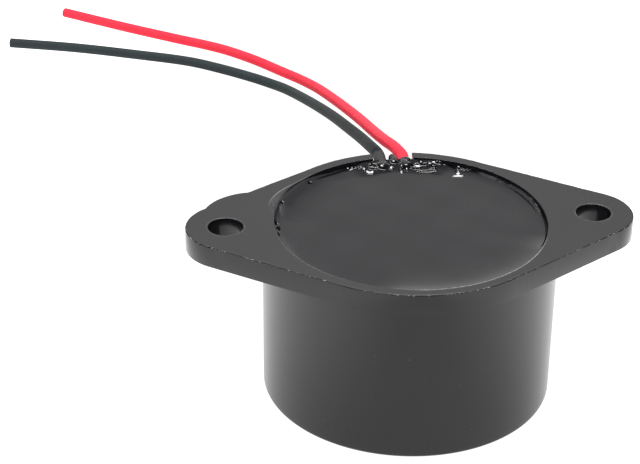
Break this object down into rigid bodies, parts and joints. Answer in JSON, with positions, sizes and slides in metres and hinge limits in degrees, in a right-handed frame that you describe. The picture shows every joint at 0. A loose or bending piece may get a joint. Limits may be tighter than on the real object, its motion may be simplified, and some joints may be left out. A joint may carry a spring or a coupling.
{
  "type": "piezo buzzer",
  "caption": "Round black buzzer case with a flange and drilled mounting ears, a resin-potted back and a red and a black lead from slots in its rim.",
  "frame": {"origin": "centre of the flat front face, which the buzzer stands on", "axes": "+X along the two ears, +Y towards the lead exits, +Z from the front face to the potted back"},
  "size_m": [0.0665, 0.1136, 0.0188],
  "materials": {
    "case_plastic": "satin moulded plastic",
    "resin": "smooth cast resin",
    "red_insulation": "soft sheen",
    "black_insulation": "satin",
    "white_insulation": "satin",
    "tinned_metal": "tinned",
    "solder": "bright solder",
    "disc_brass": "rolled sheet",
    "piezo_ceramic": "fired, matt",
    "silver_film": "matt silver film",
    "adhesive": "cured bead",
    "board_laminate": "phenolic laminate",
    "copper": "copper",
    "ferrite": "sintered",
    "moulded_epoxy": "moulded epoxy",
    "resistor_coat": "lacquer"
  },
  "bodies": {
    "root": {"housing": "case_plastic", "potting": "resin", "red_lead": "red_insulation", "black_lead": "black_insulation", "red_tail": "red_insulation", "black_tail": "black_insulation", "lead_cores": "tinned_metal", "diaphragm_plate": "disc_brass", "piezo_ceramic": "piezo_ceramic", "main_electrode": "silver_film", "feedback_electrode": "silver_film", "disc_adhesive": "adhesive", "disc_solder": "solder", "main_wire": "red_insulation", "feedback_wire": "white_insulation", "ground_wire": "black_insulation", "circuit_board": "board_laminate", "board_pads": "copper", "board_solder": "solder", "coil_core": "ferrite", "coil_winding": "copper", "coil_pins": "tinned_metal", "transistor_body": "moulded_epoxy", "transistor_legs": "tinned_metal", "bias_resistor": "resistor_coat", "base_resistor": "resistor_coat", "resistor_wires": "tinned_metal", "diode_body": "moulded_epoxy", "diode_wires": "tinned_metal"}
  },
  "joints": []
}
